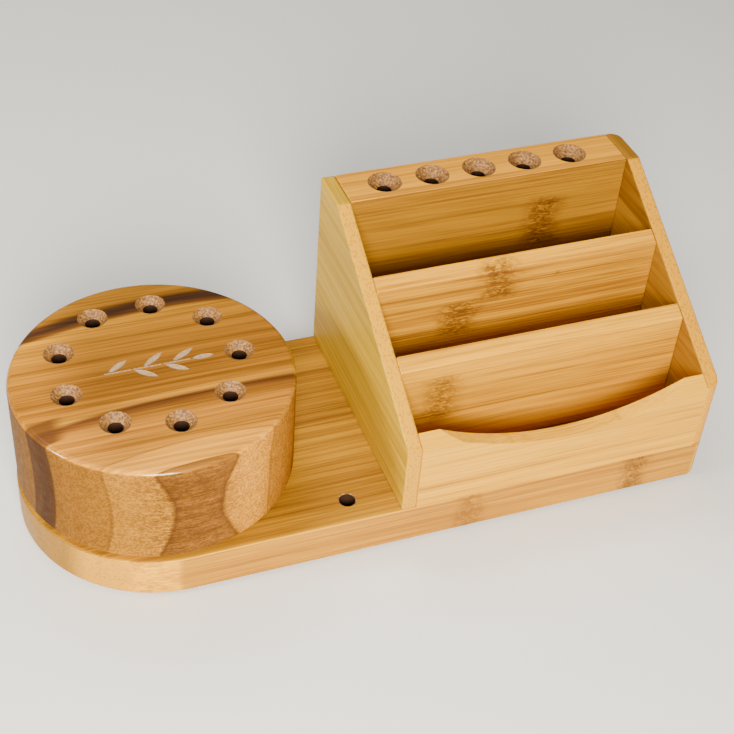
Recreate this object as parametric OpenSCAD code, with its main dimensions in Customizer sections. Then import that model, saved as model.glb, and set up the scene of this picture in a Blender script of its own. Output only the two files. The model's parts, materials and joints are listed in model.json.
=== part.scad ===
// Bamboo desk organiser with a turning tool block and a three-bay sloping box.
// Origin: middle of the outline on the table surface. +X runs from the turntable to the box,
// +Y to the back, +Z up. All sizes in millimetres.

/* [Base board] */
// Length of the base board, round end to square end
base_l = 274; // [260:1:320]
// Depth of the base board, front to back
base_w = 110; // [108:1:120]
// Thickness of the base board
base_t = 18; // [17.5:0.5:24]
// Radius of the two corners at the square end
corner_r = 5; // [1:0.5:5.5]
// Thickness of the rubber feet
foot_h = 1.5; // [1:0.1:4]
// Diameter of the rubber feet
foot_d = 12; // [8:0.5:16]
// Diameter of the single tool hole through the base
stand_hole_d = 6.5; // [4.5:0.1:8]

/* [Turntable] */
// Diameter of the turning block
drum_d = 109; // [106:0.5:109.5]
// Height of the turning block
drum_h = 44.5; // [36:0.5:60]
// Gap between the base board and the turning block
drum_gap = 1.5; // [1.2:0.1:2]
// Diameter of the circle that the tool holes lie on
ring_d = 70; // [64:0.5:74]
// How far the hole circle sits off the turning axis
ring_offset = 5.5; // [0:0.5:6]
// Turn of the hole circle at rest
ring_turn = -4; // [-20:1:20]
// Depth of the first tool hole in the turning block
drum_hole_depth = 32; // [20:1:33]
// Width of the countersinks in the turning block
drum_sink_d = 11.6; // [7:0.1:13]

/* [Box] */
// Length of the box along the base
box_l = 135; // [120:1:150]
// Height of the box above the base board
box_h = 83.5; // [76:0.5:96]
// Height of the box at its front
front_h = 31; // [28:0.5:36]
// Thickness of the box panels
panel_t = 6; // [5:0.5:7]
// Depth of the thick rear block, which is also the flat top
block_w = 20; // [18:0.5:22]
// Depth of the rear bay
rear_bay = 28; // [24:0.5:30]
// Depth of the middle bay
middle_bay = 23; // [18:0.5:25]
// Depth of the scoop in the front panel
scoop_depth = 8.8; // [4:0.1:12]
// Width of the scoop at its top
scoop_w = 90; // [60:1:100]
// Distance between the tool holes in the rear block
bar_pitch = 20.75; // [18:0.25:22]
// Distance from the box's left face to the first tool hole
bar_first = 24; // [20:0.5:28]
// Width of the countersinks in the rear block
bar_sink_d = 13.8; // [7:0.1:14]
// Depth of the first tool hole in the rear block
bar_hole_depth = 60; // [20:1:65]

/* [Tool holes] */
// Diameter of the tool holes
hole_d = 6; // [4.5:0.1:6.6]
// How much shallower each tool hole is than the one before it
hole_step = 0.3; // [0.2:0.1:0.5]

/* [Hidden] */

$fn = 96;
cut = 1;                                  // how far a cutter runs past a face

// Places along X and Y, and heights
drum_x = -base_l / 2 + base_w / 2;        // turning axis, concentric with the round end
box_x0 = base_l / 2 - box_l;              // left face of the box
box_x1 = base_l / 2;                      // right face of the box
front_y = -base_w / 2;
back_y = base_w / 2;
deck_z = foot_h + base_t;                 // top of the base board
drum_z0 = deck_z + drum_gap;
drum_z1 = drum_z0 + drum_h;
stand_hole_pos = [drum_x + 65.4, -43.5];

// Box panels, front to back
block_y = back_y - block_w;
divider_rear_y = block_y - rear_bay - panel_t;
divider_front_y = divider_rear_y - middle_bay - panel_t;
slope = (box_h - front_h) / (block_y - front_y);
tongue = 2;                               // how far a divider enters each side panel
tongue_stop = 10;                         // the grooves end this far below the slope

// Joinery
pin_d = 3;
pin_l = 16;
side_pin_y = [-42, -8, 45];
cross_pin_x = [28, 107];                  // from the box's left face
block_screw_x = [20, 115];                // from the box's left face
block_screw_d = 4;
block_screw_l = 38;
block_screw_head_d = 8;
foot_inset = 13;

// Thrust bearing between the base board and the turning block
ball_d = 4;
ball_count = 16;
ball_ring_r = 27;
race_r0 = 21;
race_r1 = 40;
race_t = 2.4;
race_sink = 0.15;                         // race face below the wood's face
race_slack = 0.2;                         // room around a race in its recess
groove_slack = 0.03;                      // room around a ball in its groove
cage_t = 1;
cage_wall = 3.5;
bearing_z = deck_z + drum_gap / 2;        // plane of the ball centres
race_screw_r = 35.5;
race_screw_d = 2.5;
race_screw_head_d = 5;
race_screw_l = 8;
race_screw_turn = 30;

// Pivot that holds the turning block down
bolt_d = 6;
bolt_slack = 0.05;
bolt_head_w = 10;                         // across the flats
bolt_head_h = 3.5;
washer_d = 14;
washer_t = 1.2;
thrust_gap = 0.3;
flange_d = 16;
flange_t = 1.4;
bushing_d = 10;
counterbore_d = 22;
counterbore_h = 7;
insert_d = 9;
insert_l = 13;
bolt_tip_z = drum_z0 + 11;

// Height of the sloping edge above the base board at depth y
function slope_z(y) = min(box_h, front_h + (y - front_y) * slope);

// Plan outline of the base board: round at one end, square with soft corners at the other
module plan_outline() {
    translate([drum_x, 0]) circle(d = base_w, $fn = 180);
    translate([drum_x, front_y]) square([base_l / 2 - drum_x - corner_r, base_w]);
    translate([drum_x, front_y + corner_r])
        square([base_l / 2 - drum_x, base_w - 2 * corner_r]);
    for (side = [-1, 1])
        translate([box_x1 - corner_r, side * (back_y - corner_r)]) circle(r = corner_r);
}

// Extrudes a profile drawn in depth and height along X, from x0 to x1
module along_x(x0, x1) {
    translate([x0, 0, 0])
        rotate([90, 0, 90])
            linear_extrude(height = x1 - x0) children();
}

// Profile of the box's sides: flat top at the back, then the slope down to the front
module side_profile() {
    polygon([[front_y, deck_z], [back_y, deck_z], [back_y, deck_z + box_h],
             [block_y, deck_z + box_h], [front_y, deck_z + front_h]]);
}

// Profile of an upright panel from y0 to y0 + panel_t, cut off along the slope
module upright_profile(y0, lower = 0) {
    y1 = y0 + panel_t;
    polygon([[y0, deck_z], [y1, deck_z], [y1, deck_z + slope_z(y1) - lower],
             [y0, deck_z + slope_z(y0) - lower]]);
}

// Tool hole with a 90 degree countersink, its mouth at the origin, pointing down. The step from
// hole to hole, $hole being its number from 0, keeps any two floors off one level.
module tool_hole(first_depth, sink_d) {
    depth = first_depth - $hole * hole_step;
    sink_h = (sink_d - hole_d) / 2;
    translate([0, 0, -depth]) cylinder(d = hole_d, h = depth + cut);
    translate([0, 0, -sink_h]) cylinder(d1 = hole_d, d2 = sink_d, h = sink_h);
    cylinder(d = sink_d, h = cut);
}

// Countersunk screw without its thread, head face at the origin, pointing down
module wood_screw(d, head_d, len) {
    head_h = (head_d - d) / 2;
    point_h = d;
    translate([0, 0, -head_h]) cylinder(d1 = d, d2 = head_d, h = head_h, $fn = 48);
    translate([0, 0, point_h - len]) cylinder(d = d, h = len - point_h - head_h, $fn = 48);
    translate([0, 0, -len]) cylinder(d1 = d / 4, d2 = d, h = point_h, $fn = 48);
}

// Room for the same screw
module screw_room(d, head_d, len) {
    head_h = (head_d - d) / 2;
    translate([0, 0, -head_h]) cylinder(d1 = d, d2 = head_d, h = head_h, $fn = 48);
    translate([0, 0, -len]) cylinder(d = d, h = len, $fn = 48);
    cylinder(d = head_d, h = cut, $fn = 48);
}

module at_bar_holes() {
    for ($hole = [0:4])
        translate([box_x0 + bar_first + $hole * bar_pitch, back_y - block_w / 2, deck_z + box_h])
            children();
}

module at_drum_holes() {
    for ($hole = [0:8])
        translate([drum_x, ring_offset, drum_z1])
            rotate([0, 0, ring_turn + 40 * $hole])
                translate([ring_d / 2, 0, 0]) children();
}

module at_race_screws() {
    for (a = [0, 120, 240])
        translate([drum_x, 0, 0])
            rotate([0, 0, race_screw_turn + a])
                translate([race_screw_r, 0, 0]) children();
}

module at_block_screws() {
    for (x = block_screw_x)
        translate([box_x0 + x, back_y - block_w / 2, foot_h]) rotate([180, 0, 0]) children();
}

// Places of the pins that stand between the base board and the box panels
module at_pins() {
    for (x = [box_x0 + panel_t / 2, box_x1 - panel_t / 2], y = side_pin_y)
        translate([x, y, deck_z]) children();
    for (x = cross_pin_x, y = [front_y, divider_front_y, divider_rear_y])
        translate([box_x0 + x, y + panel_t / 2, deck_z]) children();
}

module pin_rooms() {
    at_pins() translate([0, 0, -pin_l / 2]) cylinder(d = pin_d, h = pin_l, $fn = 32);
}

// Ring-shaped recess that takes a race, from z0 to z1
module race_recess(z0, z1) {
    translate([drum_x, 0, z0])
        difference() {
            cylinder(r = race_r1 + race_slack, h = z1 - z0);
            translate([0, 0, -cut]) cylinder(r = race_r0 - race_slack, h = z1 - z0 + 2 * cut);
        }
}

// Race with its ball groove, lying face up under the plane of the ball centres
module race_ring() {
    face = drum_gap / 2 + race_sink;
    difference() {
        rotate_extrude($fn = 120)
            difference() {
                translate([race_r0, -face - race_t]) square([race_r1 - race_r0, race_t]);
                translate([ball_ring_r, 0]) circle(d = ball_d + 2 * groove_slack, $fn = 64);
            }
        for (a = [0, 120, 240])
            rotate([0, 0, race_screw_turn + a])
                translate([race_screw_r, 0, -face])
                    screw_room(race_screw_d, race_screw_head_d, race_screw_l);
    }
}

module base_board() {
    race_floor = bearing_z - drum_gap / 2 - race_sink - race_t;
    color("peru")
        difference() {
            translate([0, 0, foot_h]) linear_extrude(height = base_t) plan_outline();
            translate([stand_hole_pos[0], stand_hole_pos[1], foot_h - cut])
                cylinder(d = stand_hole_d, h = base_t + 2 * cut);
            race_recess(race_floor, deck_z + cut);
            at_race_screws() translate([0, 0, race_floor + race_t])
                screw_room(race_screw_d, race_screw_head_d, race_screw_l);
            translate([drum_x, 0, foot_h - cut])
                cylinder(d = counterbore_d, h = counterbore_h + cut);
            translate([drum_x, 0, foot_h]) cylinder(d = bushing_d, h = base_t + cut);
            at_block_screws()
                screw_room(block_screw_d, block_screw_head_d, block_screw_l);
            pin_rooms();
        }
}

module drum_block() {
    race_roof = bearing_z + drum_gap / 2 + race_sink + race_t;
    color("burlywood")
        difference() {
            translate([drum_x, 0, drum_z0]) cylinder(d = drum_d, h = drum_h, $fn = 180);
            at_drum_holes() tool_hole(drum_hole_depth, drum_sink_d);
            race_recess(drum_z0 - cut, race_roof);
            at_race_screws() translate([0, 0, race_roof - race_t]) rotate([180, 0, 0])
                screw_room(race_screw_d, race_screw_head_d, race_screw_l);
            translate([drum_x, 0, drum_z0 - cut]) cylinder(d = insert_d, h = insert_l + cut);
        }
}

// Side panel from x0, with grooves on the face at groove_x for the dividers' tongues
module side_panel(x0, groove_x) {
    difference() {
        intersection() {
            along_x(x0, x0 + panel_t) side_profile();
            translate([0, 0, deck_z]) linear_extrude(height = box_h) plan_outline();
        }
        for (y = [divider_rear_y, divider_front_y])
            along_x(groove_x, groove_x + tongue) upright_profile(y, tongue_stop);
        pin_rooms();
    }
}

module side_panel_left() {
    color("burlywood") side_panel(box_x0, box_x0 + panel_t - tongue);
}

module side_panel_right() {
    color("burlywood") side_panel(box_x1 - panel_t, box_x1 - panel_t);
}

module rear_block() {
    color("goldenrod")
        difference() {
            translate([box_x0 + panel_t, block_y, deck_z])
                cube([box_l - 2 * panel_t, block_w, box_h]);
            at_bar_holes() tool_hole(bar_hole_depth, bar_sink_d);
            at_block_screws()
                screw_room(block_screw_d, block_screw_head_d, block_screw_l);
        }
}

// Divider whose front face is at y, with a tongue at each end
module divider(y) {
    difference() {
        union() {
            along_x(box_x0 + panel_t, box_x1 - panel_t) upright_profile(y);
            along_x(box_x0 + panel_t - tongue, box_x1 - panel_t + tongue)
                upright_profile(y, tongue_stop);
        }
        pin_rooms();
    }
}

module divider_rear() {
    color("goldenrod") divider(divider_rear_y);
}

module divider_front() {
    color("goldenrod") divider(divider_front_y);
}

module front_panel() {
    low_z = deck_z + front_h - scoop_depth;
    scoop_r = (pow(scoop_w / 2, 2) + pow(scoop_depth, 2)) / (2 * scoop_depth);
    color("wheat")
        difference() {
            along_x(box_x0 + panel_t, box_x1 - panel_t) upright_profile(front_y);
            translate([(box_x0 + box_x1) / 2, front_y - cut, low_z + scoop_r])
                rotate([-90, 0, 0]) cylinder(r = scoop_r, h = panel_t + 2 * cut, $fn = 360);
            pin_rooms();
        }
}

module locating_pins() {
    color("tan")
        at_pins() translate([0, 0, -pin_l / 2]) cylinder(d = pin_d, h = pin_l, $fn = 32);
}

module rear_block_screws() {
    color("silver")
        at_block_screws() wood_screw(block_screw_d, block_screw_head_d, block_screw_l);
}

module rubber_feet() {
    pad_y = back_y - foot_inset;
    pad_z = foot_h / 3;                   // height of the bevelled lower rim
    color("dimgray")
        for (x = [drum_x, box_x1 - foot_inset], y = [-pad_y, pad_y])
            translate([x, y, 0]) {
                cylinder(d1 = foot_d - 2 * pad_z, d2 = foot_d, h = pad_z, $fn = 48);
                translate([0, 0, pad_z]) cylinder(d = foot_d, h = foot_h - pad_z, $fn = 48);
            }
}

module lower_race() {
    color("silver") translate([drum_x, 0, bearing_z]) race_ring();
}

module upper_race() {
    color("silver") translate([drum_x, 0, bearing_z]) mirror([0, 0, 1]) race_ring();
}

module lower_race_screws() {
    color("gainsboro")
        at_race_screws() translate([0, 0, bearing_z - drum_gap / 2 - race_sink])
            wood_screw(race_screw_d, race_screw_head_d, race_screw_l);
}

module upper_race_screws() {
    color("gainsboro")
        at_race_screws() translate([0, 0, bearing_z + drum_gap / 2 + race_sink])
            rotate([180, 0, 0]) wood_screw(race_screw_d, race_screw_head_d, race_screw_l);
}

module at_balls() {
    for (i = [0:ball_count - 1])
        translate([drum_x, 0, bearing_z])
            rotate([0, 0, i * 360 / ball_count]) translate([ball_ring_r, 0, 0]) children();
}

module ball_cage() {
    pocket_d = ball_d + 0.2;
    color("ivory")
        difference() {
            translate([drum_x, 0, bearing_z - cage_t / 2])
                difference() {
                    cylinder(r = ball_ring_r + cage_wall, h = cage_t);
                    translate([0, 0, -cut])
                        cylinder(r = ball_ring_r - cage_wall, h = cage_t + 2 * cut);
                }
            at_balls() cylinder(d = pocket_d, h = cage_t + 2 * cut, center = true, $fn = 48);
        }
}

module bearing_balls() {
    color("gainsboro") at_balls() sphere(d = ball_d, $fn = 48);
}

// Flanged sleeve pressed into the base board from below
module pivot_bushing() {
    ceiling_z = foot_h + counterbore_h;
    color("ivory")
        translate([drum_x, 0, 0])
            difference() {
                union() {
                    translate([0, 0, ceiling_z - flange_t]) cylinder(d = flange_d, h = flange_t);
                    translate([0, 0, ceiling_z])
                        cylinder(d = bushing_d, h = deck_z - ceiling_z - race_sink);
                }
                cylinder(d = bolt_d + 2 * bolt_slack, h = deck_z + cut);
            }
}

module pivot_washer() {
    washer_z = foot_h + counterbore_h - flange_t - thrust_gap - washer_t;
    color("silver")
        translate([drum_x, 0, washer_z])
            difference() {
                cylinder(d = washer_d, h = washer_t);
                translate([0, 0, -cut]) cylinder(d = bolt_d, h = washer_t + 2 * cut);
            }
}

module pivot_bolt() {
    washer_z = foot_h + counterbore_h - flange_t - thrust_gap - washer_t;
    head_z = washer_z - bolt_head_h;
    color("silver")
        translate([drum_x, 0, 0]) {
            translate([0, 0, head_z])
                cylinder(d = bolt_head_w / cos(30), h = bolt_head_h, $fn = 6);
            translate([0, 0, washer_z]) cylinder(d = bolt_d, h = bolt_tip_z - washer_z);
        }
}

// Brass nut pressed into the turning block
module insert_nut() {
    color("goldenrod")
        translate([drum_x, 0, drum_z0])
            difference() {
                cylinder(d = insert_d, h = insert_l);
                translate([0, 0, -cut]) cylinder(d = bolt_d, h = insert_l + 2 * cut);
            }
}

base_board();
drum_block();
side_panel_left();
side_panel_right();
rear_block();
divider_rear();
divider_front();
front_panel();
locating_pins();
rear_block_screws();
rubber_feet();
lower_race();
lower_race_screws();
upper_race();
upper_race_screws();
ball_cage();
bearing_balls();
pivot_bushing();
pivot_washer();
pivot_bolt();
insert_nut();
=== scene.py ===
import json
import math

import bpy
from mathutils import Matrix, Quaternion, Vector


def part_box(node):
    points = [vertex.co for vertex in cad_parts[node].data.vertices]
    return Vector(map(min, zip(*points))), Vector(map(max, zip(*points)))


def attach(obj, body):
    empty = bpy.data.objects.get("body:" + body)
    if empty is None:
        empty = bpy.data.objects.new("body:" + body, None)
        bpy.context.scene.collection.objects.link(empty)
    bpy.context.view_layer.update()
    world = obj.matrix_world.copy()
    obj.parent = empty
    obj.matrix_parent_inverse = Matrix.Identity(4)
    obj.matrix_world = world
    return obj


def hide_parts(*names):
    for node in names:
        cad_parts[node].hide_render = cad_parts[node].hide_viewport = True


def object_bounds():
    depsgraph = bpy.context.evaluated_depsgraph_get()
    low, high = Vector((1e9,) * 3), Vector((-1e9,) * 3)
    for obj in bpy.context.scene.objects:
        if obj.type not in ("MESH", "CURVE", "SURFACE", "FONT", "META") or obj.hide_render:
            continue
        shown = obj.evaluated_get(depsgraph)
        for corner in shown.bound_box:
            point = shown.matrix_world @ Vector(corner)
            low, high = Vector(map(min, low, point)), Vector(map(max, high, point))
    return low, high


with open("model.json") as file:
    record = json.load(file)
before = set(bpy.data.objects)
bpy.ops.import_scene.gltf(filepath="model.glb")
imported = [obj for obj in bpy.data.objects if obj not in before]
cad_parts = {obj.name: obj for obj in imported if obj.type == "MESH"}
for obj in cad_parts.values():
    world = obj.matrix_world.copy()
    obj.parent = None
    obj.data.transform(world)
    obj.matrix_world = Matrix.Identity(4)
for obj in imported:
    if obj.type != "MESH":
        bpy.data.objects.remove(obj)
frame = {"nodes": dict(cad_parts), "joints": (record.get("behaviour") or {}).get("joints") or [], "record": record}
cad_low, cad_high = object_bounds()
nodes = frame["nodes"]

MM = 0.001

# ---------------------------------------------------------------- places taken from the frame

board_low, board_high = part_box("base_board")
drum_low, drum_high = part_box("drum_block")
left_low, left_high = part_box("side_panel_left")
right_low, right_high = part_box("side_panel_right")
block_low, block_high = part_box("rear_block")

mounts = {m["name"]: m for m in frame["record"]["mounts"]}
joints = {j["name"]: j for j in frame["joints"]}
axis_x, axis_y, _ = joints["turntable_spin"]["pos_m"]
deck = board_high.z                          # top of the base board
front_y = left_low.y
inside_x0, inside_x1 = left_high.x, right_low.x
corner_r = 5 * MM                            # plan corners at the square end
front_h = 31 * MM                            # height of the box at its front
front_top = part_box("front_panel")[0].z + front_h
scoop_depth, scoop_w = 8.8 * MM, 90 * MM     # scoop in the front panel
mark_depth = 0.35 * MM                       # how deep the sprig is engraved
race_slack = 0.2 * MM                        # room round a race in its recess
race_bore = 20.8 * MM                        # just inside the races
counterbore_r = 11 * MM                      # room for the bolt head under the board
counterbore_depth = 7 * MM
sleeve_r = 5 * MM                            # bore for the pivot's sleeve
screw_head_r, screw_r = 4 * MM, 2 * MM       # rear block screws
recess_cut = 5 * MM                          # height of a recess's cutter, out past the wood
slope_point = Vector((0, block_low.y, block_high.z))
slope_normal = Vector((0, -(block_high.z - front_top), block_low.y - front_y)).normalized()


# ---------------------------------------------------------------- modelling helpers

def rest():
    """Leaves nothing selected and no object active."""
    for obj in bpy.context.selected_objects:
        obj.select_set(False)
    bpy.context.view_layer.objects.active = None


def pick(obj):
    """Makes obj the only selected object."""
    rest()
    obj.select_set(True)
    bpy.context.view_layer.objects.active = obj
    return obj


def settle(obj):
    """Puts obj's place, turn and size into its mesh."""
    pick(obj)
    bpy.ops.object.transform_apply(location=True, rotation=True, scale=True)
    return obj


def edit(obj, *steps):
    """Runs steps in edit mode with the whole mesh selected before each."""
    pick(obj)
    bpy.ops.object.mode_set(mode="EDIT")
    for step in steps:
        bpy.ops.mesh.select_all(action="SELECT")
        step()
    bpy.ops.object.mode_set(mode="OBJECT")
    return obj


def select_where(obj, kind, test):
    """In object mode, selects the faces or edges whose middle passes the test, and nothing else."""
    mesh = obj.data
    for part in (mesh.vertices, mesh.edges, mesh.polygons):
        part.foreach_set("select", [False] * len(part))
    for item in getattr(mesh, kind):
        points = [mesh.vertices[i].co for i in item.vertices]
        item.select = test(sum(points, Vector()) / len(points), item)
    bpy.context.tool_settings.mesh_select_mode = (False, kind == "edges", kind == "polygons")


def work_on(obj, kind, test, *steps):
    """Runs steps in edit mode on the chosen faces or edges."""
    pick(obj)
    select_where(obj, kind, test)
    bpy.ops.object.mode_set(mode="EDIT")
    for step in steps:
        step()
    bpy.ops.object.mode_set(mode="OBJECT")
    return obj


def modify(obj, kind, **values):
    """Adds one modifier and applies it."""
    pick(obj)
    mod = obj.modifiers.new(kind.lower(), kind)
    for key, value in values.items():
        setattr(mod, key, value)
    bpy.ops.object.modifier_apply(modifier=mod.name)
    return obj


def round_edges(obj, width, segments=3, angle=30):
    """Rounds the sharp edges as sanding does."""
    return modify(obj, "BEVEL", width=width, segments=segments, limit_method="ANGLE",
                  angle_limit=math.radians(angle), use_clamp_overlap=True)


def shade(obj, angle=40):
    """Shades curves smooth and flats flat."""
    pick(obj)
    bpy.ops.object.shade_smooth_by_angle(angle=math.radians(angle))
    return modify(obj, "WEIGHTED_NORMAL", keep_sharp=True, weight=80)


def block(name, low, high):
    """A cuboid between two corners, ready to be shaped."""
    low, high = Vector(low), Vector(high)
    rest()
    bpy.ops.mesh.primitive_cube_add(size=1, location=(low + high) / 2)
    obj = bpy.context.object
    obj.name = name
    obj.scale = high - low
    return settle(obj)


def disc(name, centre, radius, height, sides=192):
    """An upright cylinder standing on centre."""
    rest()
    bpy.ops.mesh.primitive_cylinder_add(vertices=sides, radius=radius, depth=height,
                                        location=Vector(centre) + Vector((0, 0, height / 2)))
    obj = bpy.context.object
    obj.name = name
    return settle(obj)


def cut_off(obj, point, normal):
    """Saws the mesh along a plane and drops the side the normal points to."""
    return edit(obj, lambda: bpy.ops.mesh.bisect(plane_co=point, plane_no=normal,
                                                 clear_outer=True, use_fill=True))


def carve(obj, cutter, operation="DIFFERENCE"):
    """Cuts the cutter's shape out of obj, bringing the cutter's own finish, and drops the cutter."""
    modify(obj, "BOOLEAN", operation=operation, solver="EXACT", material_mode="TRANSFER",
           object=cutter)
    bpy.data.objects.remove(cutter)
    return obj


def turned_cutter(mouth, profile, down=True, sides=64):
    """A drill for one hole. profile lists (radius, depth) from the mouth inward, in metres."""
    rings = list(reversed(profile))
    radius, deepest = rings[0]
    drill = disc("drill", (0, 0, -deepest), radius, deepest - rings[1][1], sides)
    for (now, depth), (wide, next_depth) in zip(rings[1:], rings[2:] + [(None, -2 * MM)]):
        if now != radius:
            work_on(drill, "polygons", lambda c, f: f.normal.z > 0.9,
                    lambda: bpy.ops.transform.resize(value=(now / radius,) * 2 + (1,),
                                                     center_override=(0, 0, 0)))
            radius = now
        rise = depth - next_depth
        work_on(drill, "polygons", lambda c, f: f.normal.z > 0.9,
                lambda: bpy.ops.mesh.extrude_region_move(
                    TRANSFORM_OT_translate={"value": (0, 0, rise)}))
    if not down:
        drill.rotation_euler = (math.radians(180), 0, 0)
    drill.location = mouth
    return settle(drill)


def tool_hole(piece, mount, top, lip=0.25 * MM, ease=0.12 * MM):
    """Drills one countersunk tool hole where its mount says, with a slightly worn lip."""
    x, y, z = mount["pos_m"]
    radius = mount["dims"]["r_mm"] * MM
    sink = top - z
    wide = radius + sink - ease
    depth = mount["dims"]["length_mm"] * MM + sink
    drill = turned_cutter((x, y, top), [
        (wide + lip, 0), (wide, ease), (radius, sink), (radius, depth)])
    drill.data.materials.append(hole_wood)
    return carve(piece, drill)


def ring_cutter(centre, inner, outer, height):
    """A flat ring standing on centre."""
    ring = disc("ring", centre, outer, height)
    return carve(ring, disc("core", Vector(centre) - Vector((0, 0, MM)), inner, height + 2 * MM))


def finish_piece(obj, body, material, slot, *stands_for):
    """Gives a piece its finish and body, and hides the CAD nodes it stands for."""
    if material:
        obj.data.materials.clear()
        obj.data.materials.append(material)
    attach(obj, body)
    if stands_for:
        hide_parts(*stands_for)
    return obj


# ---------------------------------------------------------------- shader helpers

class Web:
    """A small hand for wiring shader nodes in one tree."""

    def __init__(self, tree):
        self.tree = tree

    def put(self, kind, **values):
        node = self.tree.nodes.new(kind)
        for key, value in values.items():
            setattr(node, key, value)
        return node

    def feed(self, socket, value):
        if isinstance(value, bpy.types.NodeSocket):
            self.tree.links.new(value, socket)
        elif value is not None:
            socket.default_value = value

    def math(self, operation, a, b=None):
        node = self.put("ShaderNodeMath", operation=operation)
        for socket, value in zip(node.inputs, (a, b)):
            self.feed(socket, value)
        return node.outputs[0]

    def vector(self, operation, a, b=None):
        node = self.put("ShaderNodeVectorMath", operation=operation)
        self.feed(node.inputs[0], a)
        self.feed(node.inputs[1], b)
        return node.outputs["Value" if operation == "DOT_PRODUCT" else 0]

    def split(self, vector):
        node = self.put("ShaderNodeSeparateXYZ")
        self.feed(node.inputs[0], vector)
        return node.outputs

    def join(self, x, y, z):
        node = self.put("ShaderNodeCombineXYZ")
        for socket, value in zip(node.inputs, (x, y, z)):
            self.feed(socket, value)
        return node.outputs[0]

    def noise(self, vector, detail=2.0, rough=0.5, distort=0.0):
        node = self.put("ShaderNodeTexNoise", noise_dimensions="3D")
        self.feed(node.inputs["Vector"], vector)
        node.inputs["Scale"].default_value = 1.0
        node.inputs["Detail"].default_value = detail
        node.inputs["Roughness"].default_value = rough
        node.inputs["Distortion"].default_value = distort
        return node.outputs[0]

    def random(self, vector):
        node = self.put("ShaderNodeTexWhiteNoise", noise_dimensions="3D")
        self.feed(node.inputs["Vector"], vector)
        return node.outputs["Value"]

    def remap(self, value, low, high, to_low=0.0, to_high=1.0, smooth=True):
        node = self.put("ShaderNodeMapRange",
                        interpolation_type="SMOOTHSTEP" if smooth else "LINEAR")
        for socket, item in zip(node.inputs, (value, low, high, to_low, to_high)):
            self.feed(socket, item)
        return node.outputs[0]

    def mix(self, factor, a, b, blend="MIX"):
        node = self.put("ShaderNodeMix", data_type="RGBA", blend_type=blend)
        self.feed(node.inputs["Factor"], factor)
        self.feed(node.inputs[6], a)
        self.feed(node.inputs[7], b)
        return node.outputs[2]

    def ramp(self, value, stops):
        node = self.put("ShaderNodeValToRGB")
        while len(node.color_ramp.elements) < len(stops):
            node.color_ramp.elements.new(0.5)
        for element, (place, colour) in zip(node.color_ramp.elements, stops):
            element.position = place
            element.color = colour
        self.feed(node.inputs[0], value)
        return node.outputs[0]


def tone(red, green, blue):
    """A colour given as the eye sees it, 0 to 255, made linear."""
    return tuple(((c / 255 + 0.055) / 1.055) ** 2.4 if c > 10 else c / 255 / 12.92
                 for c in (red, green, blue)) + (1.0,)


def new_group(name, inputs, outputs):
    """A shader node group with named sockets. Returns (tree, web, input sockets, output node)."""
    tree = bpy.data.node_groups.new(name, "ShaderNodeTree")
    for title, kind, value in inputs:
        socket = tree.interface.new_socket(name=title, in_out="INPUT", socket_type=kind)
        if value is not None:
            socket.default_value = value
    for title, kind in outputs:
        tree.interface.new_socket(name=title, in_out="OUTPUT", socket_type=kind)
    web = Web(tree)
    return tree, web, web.put("NodeGroupInput").outputs, web.put("NodeGroupOutput").inputs


FLOAT, VECTOR = "NodeSocketFloat", "NodeSocketVector"
BARK = (.13, .042, .008, 1)                  # dark brown of nodes, glue lines and speckle


def bamboo_fibre_group():
    """Fibres, broad streaks and vessels of one cane, from a vector with X along the grain."""
    tree, w, given, out = new_group(
        "bamboo_fibre",
        [("Grain", VECTOR, None), ("Seed", FLOAT, 0.0)],
        [("Fibre", FLOAT), ("Streak", FLOAT), ("Vessel", FLOAT)])
    shift = w.join(given["Seed"], w.math("MULTIPLY", given["Seed"], 7.3), given["Seed"])
    place = w.vector("ADD", given["Grain"], shift)
    waver = w.math("MULTIPLY", w.math("SUBTRACT", w.noise(
        w.vector("MULTIPLY", place, (9, 30, 30)), 1.0), 0.5), 1.6 * MM)
    x, y, z = w.split(place)
    bent = w.join(x, w.math("ADD", y, waver), z)
    w.feed(out["Fibre"], w.remap(w.noise(
        w.vector("MULTIPLY", bent, (22, 1350, 1350)), 2.0, 0.6), 0.28, 0.72))
    w.feed(out["Streak"], w.remap(w.noise(
        w.vector("MULTIPLY", bent, (6, 330, 330)), 3.0, 0.6), 0.25, 0.75))
    cells = w.put("ShaderNodeTexVoronoi", feature="F1", voronoi_dimensions="3D")
    w.feed(cells.inputs["Vector"], w.vector("MULTIPLY", bent, (45, 1250, 1250)))
    cells.inputs["Scale"].default_value = 1.0
    w.feed(out["Vessel"], w.remap(cells.outputs["Distance"], 0.15, 0.5, 1.0, 0.0))
    return tree


def bamboo_strip_group():
    """Which glued strip a point lies in: its own tone and the glue line round it."""
    tree, w, given, out = new_group(
        "bamboo_strips",
        [("Grain", VECTOR, None), ("Strip", FLOAT, 0.02), ("Layer", FLOAT, 0.006),
         ("Seed", FLOAT, 0.0)],
        [("Tone", FLOAT), ("Glue", FLOAT)])
    x, y, z = w.split(given["Grain"])
    across = w.math("ADD", w.math("DIVIDE", y, given["Strip"]), given["Seed"])
    through = w.math("ADD", w.math("DIVIDE", z, given["Layer"]), 0.5)
    row, layer = w.math("FLOOR", across), w.math("FLOOR", through)
    w.feed(out["Tone"], w.random(w.join(row, layer, given["Seed"])))
    part = w.math("FRACT", across)
    near = w.math("MINIMUM", part, w.math("SUBTRACT", 1.0, part))
    edge = w.math("MULTIPLY", near, given["Strip"])
    w.feed(out["Glue"], w.remap(edge, 0.05 * MM, 0.3 * MM, 1.0, 0.0))
    return tree


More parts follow.
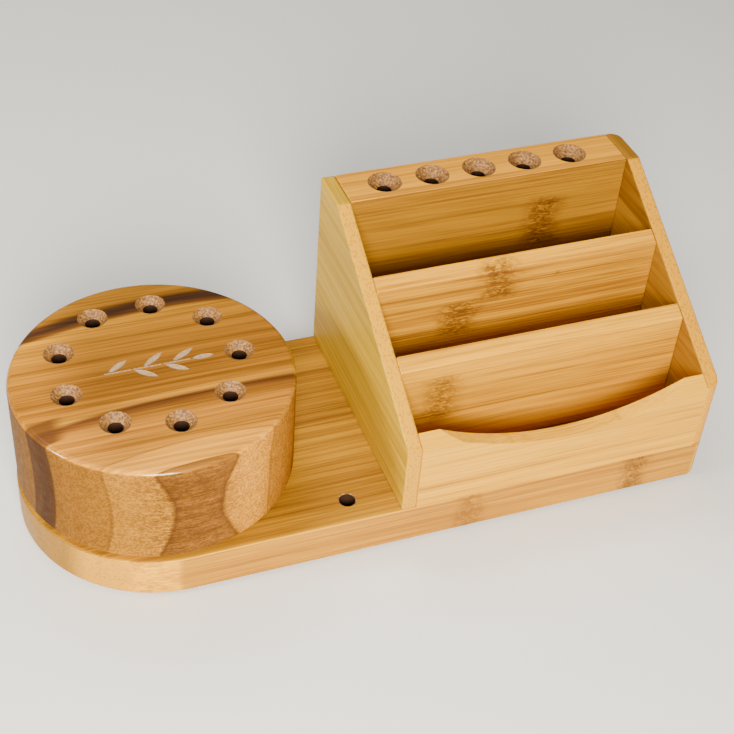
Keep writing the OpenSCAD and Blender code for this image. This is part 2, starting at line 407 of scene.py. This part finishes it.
def bamboo_node_group():
    """One brown node of a cane: a ragged patch of short strokes across the strip."""
    tree, w, given, out = new_group(
        "bamboo_node",
        [("Grain", VECTOR, None), ("Centre", VECTOR, None), ("Half Length", FLOAT, 0.008),
         ("Half Width", FLOAT, 0.01)],
        [("Mark", FLOAT)])
    off = w.vector("SUBTRACT", given["Grain"], given["Centre"])
    x, y, _ = w.split(off)
    ragged = w.math("MULTIPLY", w.math("SUBTRACT", w.noise(
        w.vector("MULTIPLY", given["Grain"], (60, 130, 60)), 3.0, 0.7), 0.5), 16 * MM)
    along = w.math("DIVIDE", w.math("ABSOLUTE", w.math("ADD", x, ragged)), given["Half Length"])
    across = w.math("DIVIDE", w.math("ABSOLUTE", y), given["Half Width"])
    body = w.math("MULTIPLY", w.remap(along, 0.1, 1.0, 1.0, 0.0),
                  w.remap(across, 0.7, 1.05, 1.0, 0.0))
    strokes = w.noise(w.vector("MULTIPLY", given["Grain"], (260, 720, 300)), 3.0, 0.65, 1.5)
    w.feed(out["Mark"], w.math("MULTIPLY", body, w.remap(strokes, 0.32, 0.58)))
    return tree


fibre_group = bamboo_fibre_group()
strip_group = bamboo_strip_group()
node_group = bamboo_node_group()


def use_group(w, tree, **values):
    """Puts a group in the tree with these inputs, and returns its outputs."""
    node = w.put("ShaderNodeGroup", node_tree=tree)
    for key, value in values.items():
        w.feed(node.inputs[key.replace("_", " ")], value)
    return node.outputs


def new_material(name, rough=0.5, metallic=0.0):
    """A material with its web and its Principled shader."""
    material = bpy.data.materials.new(name)
    material.use_nodes = True
    w = Web(material.node_tree)
    shader = material.node_tree.nodes["Principled BSDF"]
    shader.inputs["Roughness"].default_value = rough
    shader.inputs["Metallic"].default_value = metallic
    return material, w, shader


def varnish(shader, weight, rough=0.2):
    """A thin satin lacquer over the wood, with reflections that keep the wood's warmth."""
    shader.inputs["Coat Weight"].default_value = weight
    shader.inputs["Coat Roughness"].default_value = rough
    shader.inputs["Specular IOR Level"].default_value = 0.25
    shader.inputs["Specular Tint"].default_value = (1, .72, .32, 1)


def grain_vector(w, order):
    """Object coordinates reordered so that the grain runs along the first, and the normal."""
    place = w.put("ShaderNodeTexCoord")
    axes = dict(zip("xyz", w.split(place.outputs["Object"])))
    return w.join(*(axes[a] for a in order)), place.outputs["Normal"]


def relief(w, shader, height, strength=0.3, distance=0.12 * MM):
    """Raises the surface where height is large."""
    bump = w.put("ShaderNodeBump")
    bump.inputs["Strength"].default_value = strength
    bump.inputs["Distance"].default_value = distance
    w.feed(bump.inputs["Height"], height)
    w.feed(shader.inputs["Normal"], bump.outputs[0])


def bamboo(name, pale, mid, deep, order="xyz", end="x", end_pale=None, end_deep=None,
           strip=20 * MM, layer=6 * MM, seed=0.0, painted_face_light=None, glue_line=0.45, edge=0.0, marks=()):
    """Varnished laminated bamboo: pale to deep are its tones along the grain, end_ across it.

    The face light is a face direction and a factor: painted light and shade, the wood's colour
    scaled by the factor on faces that look that way. glue_line is how strong the lines between
    strips are. edge is how much paler faces that look up and forward are painted, the sloped tops
    and their rounded front edges: painted light and a painted highlight.
    Each mark is a cane node: its centre, half length, half width and strength.
    """
    material, w, shader = new_material(name)
    grain, normal = grain_vector(w, order)
    fibre = use_group(w, fibre_group, Grain=grain, Seed=seed)
    strips = use_group(w, strip_group, Grain=grain, Strip=strip, Layer=layer, Seed=seed)
    body = w.math("ADD", w.math("MULTIPLY", strips["Tone"], 0.3),
                  w.math("MULTIPLY", fibre["Streak"], 0.38))
    body = w.math("ADD", body, w.math("MULTIPLY", fibre["Fibre"], 0.32))
    colour = w.ramp(body, [(0.2, pale), (0.5, mid), (0.85, deep)])
    colour = w.mix(w.math("MULTIPLY", fibre["Vessel"], 0.16), colour, deep)
    axis = tuple(1.0 if a == end else 0.0 for a in "xyz")
    across = w.remap(w.math("ABSOLUTE", w.vector("DOT_PRODUCT", normal, axis)), 0.3, 0.5)
    dots = w.mix(w.math("MULTIPLY", fibre["Vessel"], 0.75), end_pale or pale, end_deep or deep)
    colour = w.mix(across, colour, dots)
    # painted light and shade: faces that look the face light's way have their colour scaled by its factor
    if painted_face_light:
        painted_light_mask = w.remap(w.vector("DOT_PRODUCT", normal, painted_face_light[0]), 0.6, 0.75)
        colour = w.mix(painted_light_mask, colour, (painted_face_light[1],) * 3 + (1,), "MULTIPLY")
    # painted light and a painted highlight: faces looking up and forward, the sloped tops and rounded front top
    # edges, are painted paler
    if edge:
        painted_light_mask = w.remap(w.vector("DOT_PRODUCT", normal, (0, -0.7071, 0.7071)), 0.86, 0.96)
        colour = w.mix(painted_light_mask, colour, (1 + edge,) * 3 + (1,), "MULTIPLY")
    glue = w.math("MULTIPLY", strips["Glue"], w.remap(across, 0.0, 1.0, glue_line, 0.12))
    colour = w.mix(glue, colour, BARK)
    for centre, half_length, half_width, strength in marks:
        mark = use_group(w, node_group, Grain=grain, Centre=centre, Half_Length=half_length,
                         Half_Width=half_width)["Mark"]
        colour = w.mix(w.math("MULTIPLY", mark, strength), colour, BARK)
    w.feed(shader.inputs["Base Color"], colour)
    w.feed(shader.inputs["Roughness"], w.remap(fibre["Streak"], 0.0, 1.0, 0.4, 0.56, False))
    height = w.math("SUBTRACT", fibre["Fibre"], w.math("MULTIPLY", fibre["Vessel"], 0.6))
    relief(w, shader, w.math("SUBTRACT", height, strips["Glue"]))
    varnish(shader, 0.04)
    return material


def drum_bamboo():
    """The turning block: thick boards glued upright, with two dark seams and one pale board."""
    material, w, shader = new_material("drum_bamboo")
    grain, normal = grain_vector(w, "xyz")
    x, y, z = w.split(w.vector("SUBTRACT", grain, (
        axis_x, axis_y, (drum_low.z + drum_high.z) / 2)))
    half = (drum_high.z - drum_low.z) / 2
    # the boards run slightly askew, bow forward at both ends, and bulge at half height
    bow = w.math("MULTIPLY", w.math("POWER", w.math("SUBTRACT", x, 5 * MM), 2.0),
                 w.math("MULTIPLY", w.math("ABSOLUTE", y), 67.0))
    level = w.math("DIVIDE", z, half)
    bulge = w.math("MULTIPLY", w.math("SUBTRACT", 1.0, w.math("MULTIPLY", level, level)), 2.2 * MM)
    low = w.math("MAXIMUM", w.math("MULTIPLY", level, -1.0), 0.0)
    leaf = w.math("MULTIPLY", w.math("MULTIPLY", w.math("MULTIPLY", low, low), 9 * MM),
                  w.remap(x, 0.0, 20 * MM))
    leaf = w.math("MULTIPLY", leaf, w.remap(y, -46 * MM, -40 * MM))
    u = w.math("ADD", w.math("SUBTRACT", y, w.math("MULTIPLY", x, 0.05)), bow)
    u = w.math("ADD", w.math("ADD", u, bulge), leaf)
    wander = w.math("MULTIPLY", w.math("SUBTRACT", w.noise(
        w.vector("MULTIPLY", grain, (28, 60, 40)), 2.0), 0.5), 1.6 * MM)
    seat = w.math("DIVIDE", w.math("ADD", w.math("ADD", u, wander), 56 * MM), 112 * MM)
    # tones across the block, by distance from its middle in millimetres, front to back
    stops = [(-56, (.34, .13, .014)), (-51.4, (.31, .12, .012)), (-51.1, (.13, .045, .008)),
             (-50.8, (.74, .31, .02)), (-46, (.80, .34, .025)), (-40.5, (.70, .29, .018)),
             (-40.1, (.28, .10, .010)), (-39.6, (.52, .21, .012)), (-28, (.47, .18, .012)),
             (-21, (.37, .14, .010)), (-18.6, (.20, .066, .009)), (-16.8, (.11, .034, .008)),
             (-15.9, (.26, .10, .010)), (-15, (.50, .21, .012)), (-10, (.34, .128, .006)),
             (5, (.285, .107, .006)), (18, (.32, .123, .006)), (30, (.39, .158, .007)),
             (34.5, (.45, .19, .008)), (36.2, (.12, .04, .006)), (39.2, (.03, .010, .005)),
             (42.2, (.07, .024, .006)), (45, (.34, .138, .008)), (56, (.43, .18, .008))]
    colour = w.ramp(seat, [((distance + 56) / 112, c + (1,)) for distance, c in stops])
    fibre = use_group(w, fibre_group, Grain=grain, Seed=2.0)
    body = w.math("ADD", w.math("MULTIPLY", fibre["Streak"], 0.6),
                  w.math("MULTIPLY", fibre["Fibre"], 0.4))
    nx, _, nz = w.split(normal)
    side = w.remap(w.math("ABSOLUTE", nz), 0.3, 0.7, 1.0, 0.0)
    slant = w.remap(w.math("ABSOLUTE", nx), 0.12, 0.45)
    calm = w.remap(w.math("MULTIPLY", side, slant), 0.0, 1.0, 1.0, 0.3, False)
    body = w.math("ADD", w.math("MULTIPLY", w.math("SUBTRACT", body, 0.5), calm), 0.5)
    grey = w.ramp(body, [(0.15, (1.35, 1.35, 1.35, 1)), (0.5, (1, 1, 1, 1)),
                         (0.85, (0.6, 0.56, 0.5, 1))])
    colour = w.mix(1.0, colour, grey, "MULTIPLY")
    # painted light: the block is painted paler towards its left, where a lamp shines on it, and one board turns
    # dark at that end
    pale = w.remap(x, -18 * MM, -48 * MM, 0.0, 0.55)
    colour = w.mix(pale, colour, w.mix(1.0, colour, (2.1, 2.15, 1.8, 1), "MULTIPLY"))
    dark = w.math("MULTIPLY", w.remap(u, -22 * MM, -21 * MM),
                  w.remap(u, -12 * MM, -10.5 * MM, 1.0, 0.0))
    dark = w.math("MULTIPLY", dark, w.remap(x, -36 * MM, -43 * MM, 0.0, 0.9))
    colour = w.mix(dark, colour, BARK)
    # the turned side cuts the fibres slantwise, which shows as a close speckle
    cells = w.noise(w.vector("MULTIPLY", grain, (1000, 1000, 1300)), 1.0, 0.5)
    speck = w.math("MULTIPLY", side, w.remap(cells, 0.44, 0.58))
    colour = w.mix(w.math("MULTIPLY", speck, 0.42), colour, BARK)
    # the board at the front is cut along its fibres, which stand out there as close wavy lines
    wavy = w.noise(w.vector("MULTIPLY", grain, (260, 900, 1500)), 2.0, 0.6, 1.2)
    plain = w.math("MULTIPLY", side, w.math("SUBTRACT", 1.0, slant))
    plain = w.math("MULTIPLY", plain, w.remap(wavy, 0.42, 0.62))
    colour = w.mix(w.math("MULTIPLY", plain, 0.75), colour, BARK)
    # painted shade: the whole side is painted darker, most where it faces left; the shade turns with the block
    left = w.remap(nx, 0.4, -0.7, 0.86, 0.36, False)
    shadow = w.mix(side, (1, 1, 1, 1), w.join(left, left, left))
    colour = w.mix(1.0, colour, shadow, "MULTIPLY")
    w.feed(shader.inputs["Base Color"], colour)
    rough = w.remap(fibre["Streak"], 0.0, 1.0, 0.34, 0.5, False)
    w.feed(shader.inputs["Roughness"], w.math("ADD", rough, w.math("MULTIPLY", side, 0.2)))
    height = w.math("SUBTRACT", fibre["Fibre"], w.math("MULTIPLY", fibre["Vessel"], 0.6))
    height = w.math("ADD", height, w.math("MULTIPLY", w.math("MULTIPLY", speck, slant), -1.2))
    relief(w, shader, height, 0.4)
    varnish(shader, 0.3, 0.12)
    shader.inputs["Specular IOR Level"].default_value = 0.1
    # the lacquer is thick on the rounded rim, thinner on the top and thinnest on the side
    rim = w.math("MULTIPLY", w.remap(nz, 0.35, 0.5), w.remap(nz, 0.9, 0.98, 1.0, 0.0))
    coat = w.remap(side, 0.0, 1.0, 0.22, 0.03, False)
    w.feed(shader.inputs["Coat Weight"], w.math("MAXIMUM", coat, rim))
    return material


def metal(name, colour, rough):
    """Plated or turned metal with a faint uneven polish."""
    material, w, shader = new_material(name, rough, 1.0)
    place = w.put("ShaderNodeTexCoord").outputs["Object"]
    cloud = w.noise(w.vector("MULTIPLY", place, (900, 900, 900)), 3.0)
    w.feed(shader.inputs["Base Color"], w.mix(w.math("MULTIPLY", cloud, 0.4), colour,
                                              tone(90, 88, 84)))
    w.feed(shader.inputs["Roughness"], w.remap(cloud, 0.3, 0.7, rough - 0.08, rough + 0.1, False))
    return material


def plastic(name, colour, rough):
    """Moulded nylon or rubber with a fine grain."""
    material, w, shader = new_material(name, rough)
    place = w.put("ShaderNodeTexCoord").outputs["Object"]
    cloud = w.noise(w.vector("MULTIPLY", place, (700, 700, 700)), 2.0)
    w.feed(shader.inputs["Base Color"], w.mix(w.math("MULTIPLY", cloud, 0.25), colour,
                                              (0.3, 0.3, 0.3, 1)))
    relief(w, shader, cloud, 0.2, 0.1 * MM)
    return material


def engraved():
    """Wood scorched pale grey-brown by the engraver."""
    material, w, shader = new_material("engraved_wood", 0.7)
    place = w.put("ShaderNodeTexCoord").outputs["Object"]
    cloud = w.noise(w.vector("MULTIPLY", place, (900, 900, 900)), 2.0)
    w.feed(shader.inputs["Base Color"], w.mix(cloud, (.66, .47, .28, 1), (.22, .11, .04, 1)))
    return material


def bored():
    """Wood inside the tool holes: freshly cut and pale on the countersink, painted near black down the bore as
    painted shade.
    """
    material, w, shader = new_material("bored_wood", 0.6)
    place = w.put("ShaderNodeTexCoord")
    cloud = w.noise(w.vector("MULTIPLY", place.outputs["Object"], (1100, 1100, 1100)), 3.0, 0.65)
    cone = w.ramp(cloud, [(0.35, (.10, .038, .010, 1)), (0.5, (.25, .105, .022, 1)),
                          (0.66, (.50, .25, .06, 1))])
    # painted shade: the steep bore walls are painted near black
    painted_bore_shade = w.remap(w.split(place.outputs["Normal"])[2], 0.25, 0.5)
    w.feed(shader.inputs["Base Color"], w.mix(painted_bore_shade, (.04, .014, .005, 1), cone))
    relief(w, shader, cloud, 0.4, 0.2 * MM)
    return material


low_x, low_z = left_low.x, deck              # nodes below are measured from the box's corner

# painted light: the board's face light paints its front face twice as bright
board_wood = bamboo("board_bamboo", (.54, .255, .008, 1), (.385, .166, .006, 1),
                    (.20, .077, .005, 1), end_pale=(.34, .16, .007, 1),
                    end_deep=(.21, .082, .005, 1), strip=11 * MM, layer=18 * MM, seed=3.0,
                    painted_face_light=((0, -1, 0), 2.0),
                    marks=(((axis_x + 113 * MM, front_y, 0), 9 * MM, 6 * MM, 0.55),
                           ((axis_x + 187 * MM, front_y, 0), 9 * MM, 6 * MM, 0.75)))
# painted shade: the face light paints the left side's front end darker
left_wood = bamboo("left_side_bamboo", (.74, .46, .019, 1), (.62, .365, .012, 1),
                   (.42, .215, .008, 1), order="yzx", end="y", end_pale=(.80, .375, .008, 1),
                   end_deep=(.50, .185, .006, 1), strip=19 * MM, seed=1.3,
                   painted_face_light=((0, -1, 0), 0.86))
# painted shade: the right side's tones are painted much darker than the left side's, for the shade on its inner
# face; its face light paints its outer face bright again
right_wood = bamboo("right_side_bamboo", (.37, .165, .008, 1), (.28, .118, .006, 1),
                    (.17, .064, .005, 1), order="yzx", end="y", end_pale=(.74, .33, .008, 1),
                    end_deep=(.44, .16, .006, 1), strip=19 * MM, seed=2.6,
                    painted_face_light=((1, 0, 0), 1.9))
# painted shade and light: the block's tones are painted dark for the shade on its face in the rear bay, its face
# light paints its top 2.2 times brighter, and edge paints its front top edge paler
block_wood = bamboo("rear_block_bamboo", (.43, .19, .007, 1), (.33, .138, .006, 1),
                    (.17, .062, .005, 1), order="xzy", strip=19.5 * MM, layer=7 * MM,
                    seed=5.077, painted_face_light=((0, 0, 1), 2.2), edge=0.35,
                    marks=(((low_x + 93 * MM, low_z + 58 * MM, 0), 13 * MM, 14 * MM, 1.0),))
# painted light and a painted highlight: edge paints the sloped top and its rounded front edge paler
rear_wood = bamboo("rear_divider_bamboo", (.78, .365, .009, 1), (.62, .275, .008, 1),
                   (.31, .115, .006, 1), order="xzy", seed=8.15, edge=0.3,
                   marks=(((low_x + 59 * MM, low_z + 58 * MM, 0), 13 * MM, 9.5 * MM, 0.9),
                          ((low_x + 42 * MM, low_z + 43 * MM, 0), 13 * MM, 9.5 * MM, 0.85),
                          ((low_x + 84 * MM, low_z + 57.6 * MM, 0), 1.6 * MM, 1.2 * MM, 0.8)))
# painted light and a painted highlight: edge paints the sloped top and its rounded front edge paler
middle_wood = bamboo("middle_divider_bamboo", (.78, .36, .010, 1), (.63, .285, .008, 1),
                     (.33, .125, .006, 1), order="xzy", seed=9.0, edge=0.3,
                     marks=(((low_x + 24 * MM, low_z + 29 * MM, 0), 13 * MM, 13 * MM, 0.75),))
# painted light: the face light paints the front panel's tops a little brighter
front_wood = bamboo("front_bamboo", (.90, .44, .010, 1), (.76, .355, .008, 1),
                    (.48, .195, .006, 1), order="xzy", strip=17 * MM, seed=11.41, glue_line=0.15,
                    painted_face_light=((0, 0, 1), 1.1))
drum_wood = drum_bamboo()
mark_wood = engraved()
hole_wood = bored()
zinc = metal("zinc_plate", tone(176, 176, 170), 0.32)
ball_steel = metal("ball_steel", tone(200, 200, 204), 0.14)
brass = metal("turned_brass", tone(196, 154, 78), 0.28)
nylon = plastic("white_nylon", tone(232, 230, 220), 0.45)
rubber = plastic("black_rubber", tone(34, 34, 34), 0.7)


# ---------------------------------------------------------------- the board and the box

def build_board():
    """Base board: half round at one end, softly cornered at the other, with its holes."""
    radius = (board_high.y - board_low.y) / 2
    height = board_high.z - board_low.z
    board = disc("board_of_laminated_bamboo", (axis_x, axis_y, board_low.z), radius, height, 256)
    cut_off(board, (axis_x, 0, 0), (1, 0, 0))
    work_on(board, "polygons", lambda c, f: f.normal.x > 0.9,
            lambda: bpy.ops.mesh.extrude_region_move(
                TRANSFORM_OT_translate={"value": (board_high.x - axis_x, 0, 0)}))
    work_on(board, "edges", lambda c, e: c.x > board_high.x - MM and abs(c.z - (
        board_low.z + board_high.z) / 2) < MM and abs(c.y) > radius - MM,
            lambda: bpy.ops.mesh.bevel(offset=corner_r, segments=10, affect="EDGES"))
    edit(board, lambda: bpy.ops.mesh.remove_doubles(threshold=0.01 * MM),
         lambda: bpy.ops.mesh.dissolve_limited(angle_limit=math.radians(0.3)))
    round_edges(board, 1.0 * MM)
    board.data.materials.append(board_wood)
    x, y, _ = mounts["stand_hole"]["pos_m"]
    stand_r = mounts["stand_hole"]["dims"]["r_mm"] * MM
    drill = turned_cutter((x, y, deck), [
        (stand_r + 0.5 * MM, 0), (stand_r, 0.3 * MM), (stand_r, height + 2 * MM)])
    drill.data.materials.append(hole_wood)
    carve(board, drill)
    # the bearing's recess, the pivot's bore and counterbore, and the block screws from below
    race_low, race_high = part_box("lower_race")
    race_r = (race_high.x - race_low.x) / 2 + race_slack
    carve(board, ring_cutter((axis_x, axis_y, race_low.z), race_bore, race_r, recess_cut))
    carve(board, turned_cutter((axis_x, axis_y, board_low.z), [
        (counterbore_r, 0), (counterbore_r, counterbore_depth),
        (sleeve_r, counterbore_depth + 0.01 * MM), (sleeve_r, height + MM)], down=False))
    screw_low, screw_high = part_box("rear_block_screws")
    for x in (screw_low.x + screw_head_r, screw_high.x - screw_head_r):
        carve(board, turned_cutter((x, (screw_low.y + screw_high.y) / 2, board_low.z), [
            (screw_head_r, 0), (screw_r, screw_head_r - screw_r), (screw_r, height + MM)],
            down=False))
    return finish_piece(shade(board), "base", None, "base_bamboo", "base_board")


def build_side(name, low, high, rounded):
    """Side panel: sawn along the slope, with its outer upright edges rounded on the right."""
    panel = block(name, low, high)
    if rounded:
        work_on(panel, "edges", lambda c, e: c.x > high.x - MM and abs(c.z - (
            low.z + high.z) / 2) < MM,
                lambda: bpy.ops.mesh.bevel(offset=corner_r, segments=8, affect="EDGES"))
    cut_off(panel, slope_point, slope_normal)
    return shade(round_edges(panel, 0.8 * MM))


def build_rear_block():
    """Thick block with a row of tool holes along its top."""
    piece = round_edges(block("thick_rear_block", block_low, block_high), 0.5 * MM)
    piece.data.materials.append(block_wood)
    for name, mount in mounts.items():
        if name.startswith("bar_hole"):
            tool_hole(piece, mount, block_high.z)
    return shade(piece)


def build_upright(name, node):
    """Divider or front panel between the side panels, its top sawn along the slope."""
    low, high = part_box(node)
    piece = block(name, (inside_x0, low.y, low.z), (inside_x1, high.y, high.z + 10 * MM))
    return cut_off(piece, slope_point, slope_normal)


def build_front():
    """Front panel with a shallow scoop for reaching into the front bay."""
    piece = build_upright("scooped_front", "front_panel")
    radius = (scoop_w ** 2 / 4 + scoop_depth ** 2) / (2 * scoop_depth)
    low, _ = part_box("front_panel")
    centre_x = (inside_x0 + inside_x1) / 2
    cutter = disc("scoop", (0, 0, 0), radius, 20 * MM, 512)
    cutter.rotation_euler = (math.radians(90), 0, 0)
    cutter.location = (centre_x, low.y + 15 * MM, front_top - scoop_depth + radius)
    settle(cutter)
    carve(piece, cutter)
    return shade(round_edges(piece, 0.7 * MM))


def leaf(length, width, x, y, turn, z):
    """A pointed leaf lying flat: what two round plates have in common."""
    radius = (length ** 2 + width ** 2) / (4 * width)
    shape = disc("leaf", (0, radius - width / 2, -mark_depth), radius, 2 * MM, 256)
    carve(shape, disc("other", (0, width / 2 - radius, -2 * MM), radius, 5 * MM, 256),
          "INTERSECT")
    shape.location = (x, y, z)
    shape.rotation_euler = (0, 0, math.radians(turn))
    return settle(shape)


def engrave_sprig(drum):
    """A plain sprig of bamboo engraved across the middle of the block's top."""
    x0, y0, z = axis_x + 1 * MM, axis_y + 3 * MM, drum_high.z
    half_stem = 0.35 * MM
    shapes = [block("stem", (x0 + a * MM, y0 - half_stem, z - mark_depth),
                    (x0 + b * MM, y0 + half_stem, z + 2 * MM))
              for a, b in ((-19, -8.4), (-7.9, 3.4), (3.9, 14.5))]
    shapes += [leaf(a * MM, 2.7 * MM, x0 + b * MM, y0 + c * MM, turn, z) for a, b, c, turn in (
        (10, -13.2, 3.2, 32), (10, -3.6, -3.4, -36), (11, 0.6, 3.6, 36), (10, 8.6, -3.2, -32),
        (11, 12.2, 3.4, 30), (9, 19.4, 0.2, 2))]
    for shape in shapes:
        shape.data.materials.clear()
        shape.data.materials.append(mark_wood)
        carve(drum, shape)


def build_drum():
    """Turned tool block with a ring of holes, a bearing recess and a plain engraved sprig."""
    height = drum_high.z - drum_low.z
    radius = (drum_high.y - drum_low.y) / 2
    drum = disc("turned_tool_block", (axis_x, axis_y, drum_low.z), radius, height, 256)
    round_edges(drum, 2.0 * MM, 6)
    drum.data.materials.append(drum_wood)
    for name, mount in mounts.items():
        if name.startswith("drum_hole"):
            tool_hole(drum, mount, drum_high.z)
    race_low, race_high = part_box("upper_race")
    race_r = (race_high.x - race_low.x) / 2 + race_slack
    carve(drum, ring_cutter((axis_x, axis_y, race_high.z - recess_cut), race_bore, race_r, recess_cut))
    nut_low, nut_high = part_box("insert_nut")
    nut_r = (nut_high.x - nut_low.x) / 2
    carve(drum, turned_cutter((axis_x, axis_y, drum_low.z), [
        (nut_r, 0), (nut_r, nut_high.z - drum_low.z)], down=False))
    engrave_sprig(drum)
    return shade(drum)


build_board()
finish_piece(build_side("left_side", left_low, left_high, False), "base", left_wood,
             "panel_bamboo", "side_panel_left")
finish_piece(build_side("right_side", right_low, right_high, True), "base", right_wood,
             "panel_bamboo", "side_panel_right")
finish_piece(build_rear_block(), "base", None, "panel_bamboo", "rear_block")
for title, node, wood in (("rear_partition", "divider_rear", rear_wood),
                          ("front_partition", "divider_front", middle_wood)):
    finish_piece(shade(round_edges(build_upright(title, node), 0.6 * MM)), "base", wood,
                 "panel_bamboo", node)
finish_piece(build_front(), "base", front_wood, "front_bamboo", "front_panel")
finish_piece(build_drum(), "turntable", None, "drum_bamboo", "drum_block")

for node, material in (("rear_block_screws", zinc), ("lower_race", zinc),
                       ("lower_race_screws", zinc), ("upper_race", zinc),
                       ("upper_race_screws", zinc), ("ball_cage", nylon),
                       ("bearing_balls", ball_steel), ("pivot_bushing", nylon),
                       ("pivot_washer", zinc), ("pivot_bolt", zinc), ("insert_nut", brass),
                       ("rubber_feet", rubber), ("locating_pins", front_wood)):
    nodes[node].data.materials.clear()
    nodes[node].data.materials.append(material)


# ---------------------------------------------------------------- studio

def studio_floor():
    """A plain pale floor."""
    rest()
    bpy.ops.mesh.primitive_plane_add(size=6, location=(0, 0, 0))
    floor = bpy.context.object
    floor.name = "studio_floor"
    material, _, shader = new_material("pale_floor", 0.85)
    shader.inputs["Base Color"].default_value = (0.93, 0.93, 0.93, 1)
    floor.data.materials.append(material)


def soft_light(name, place, aim, size, power, colour):
    """A round soft lamp at place, turned towards aim."""
    data = bpy.data.lights.new(name, "AREA")
    data.shape = "DISK"
    data.size = size
    data.energy = power
    data.color = colour
    lamp = bpy.data.objects.new(name, data)
    bpy.context.scene.collection.objects.link(lamp)
    lamp.location = place
    lamp.rotation_mode = "QUATERNION"
    lamp.rotation_quaternion = (aim - place).to_track_quat("-Z", "Y")


def studio_camera():
    """Looks down at the object from the front left, at the height of a person at the bench."""
    data = bpy.data.cameras.new("studio_camera")
    data.lens = 69.97
    data.shift_x = 0.04
    camera = bpy.data.objects.new("studio_camera", data)
    bpy.context.scene.collection.objects.link(camera)
    camera.location = (-0.16524, -0.39887, 0.4261)
    aim = Vector((0.27712, 0.69861, -0.65966))
    roll = Quaternion((0, 0, 1), math.radians(3.76))
    camera.rotation_mode = "QUATERNION"
    camera.rotation_quaternion = aim.to_track_quat("-Z", "Y") @ roll
    bpy.context.scene.camera = camera


studio_floor()
studio_camera()
middle = (cad_low + cad_high) / 2
soft_light("key", middle + Vector((-0.19, -0.64, 0.37)), middle, 0.30, 13.2, (1.0, 0.96, 0.84))
soft_light("window", middle + Vector((-0.69, -0.06, 0.32)), middle, 0.13, 3.0, (1.0, 0.96, 0.88))
soft_light("top", middle + Vector((-0.1, 0.45, 0.85)), middle, 0.5, 4.6, (1.0, 0.97, 0.92))
world = bpy.data.worlds.new("studio")
bpy.context.scene.world = world
world.use_nodes = True
world.node_tree.nodes["Background"].inputs["Color"].default_value = (1, .95, .82, 1)
world.node_tree.nodes["Background"].inputs["Strength"].default_value = 0.28
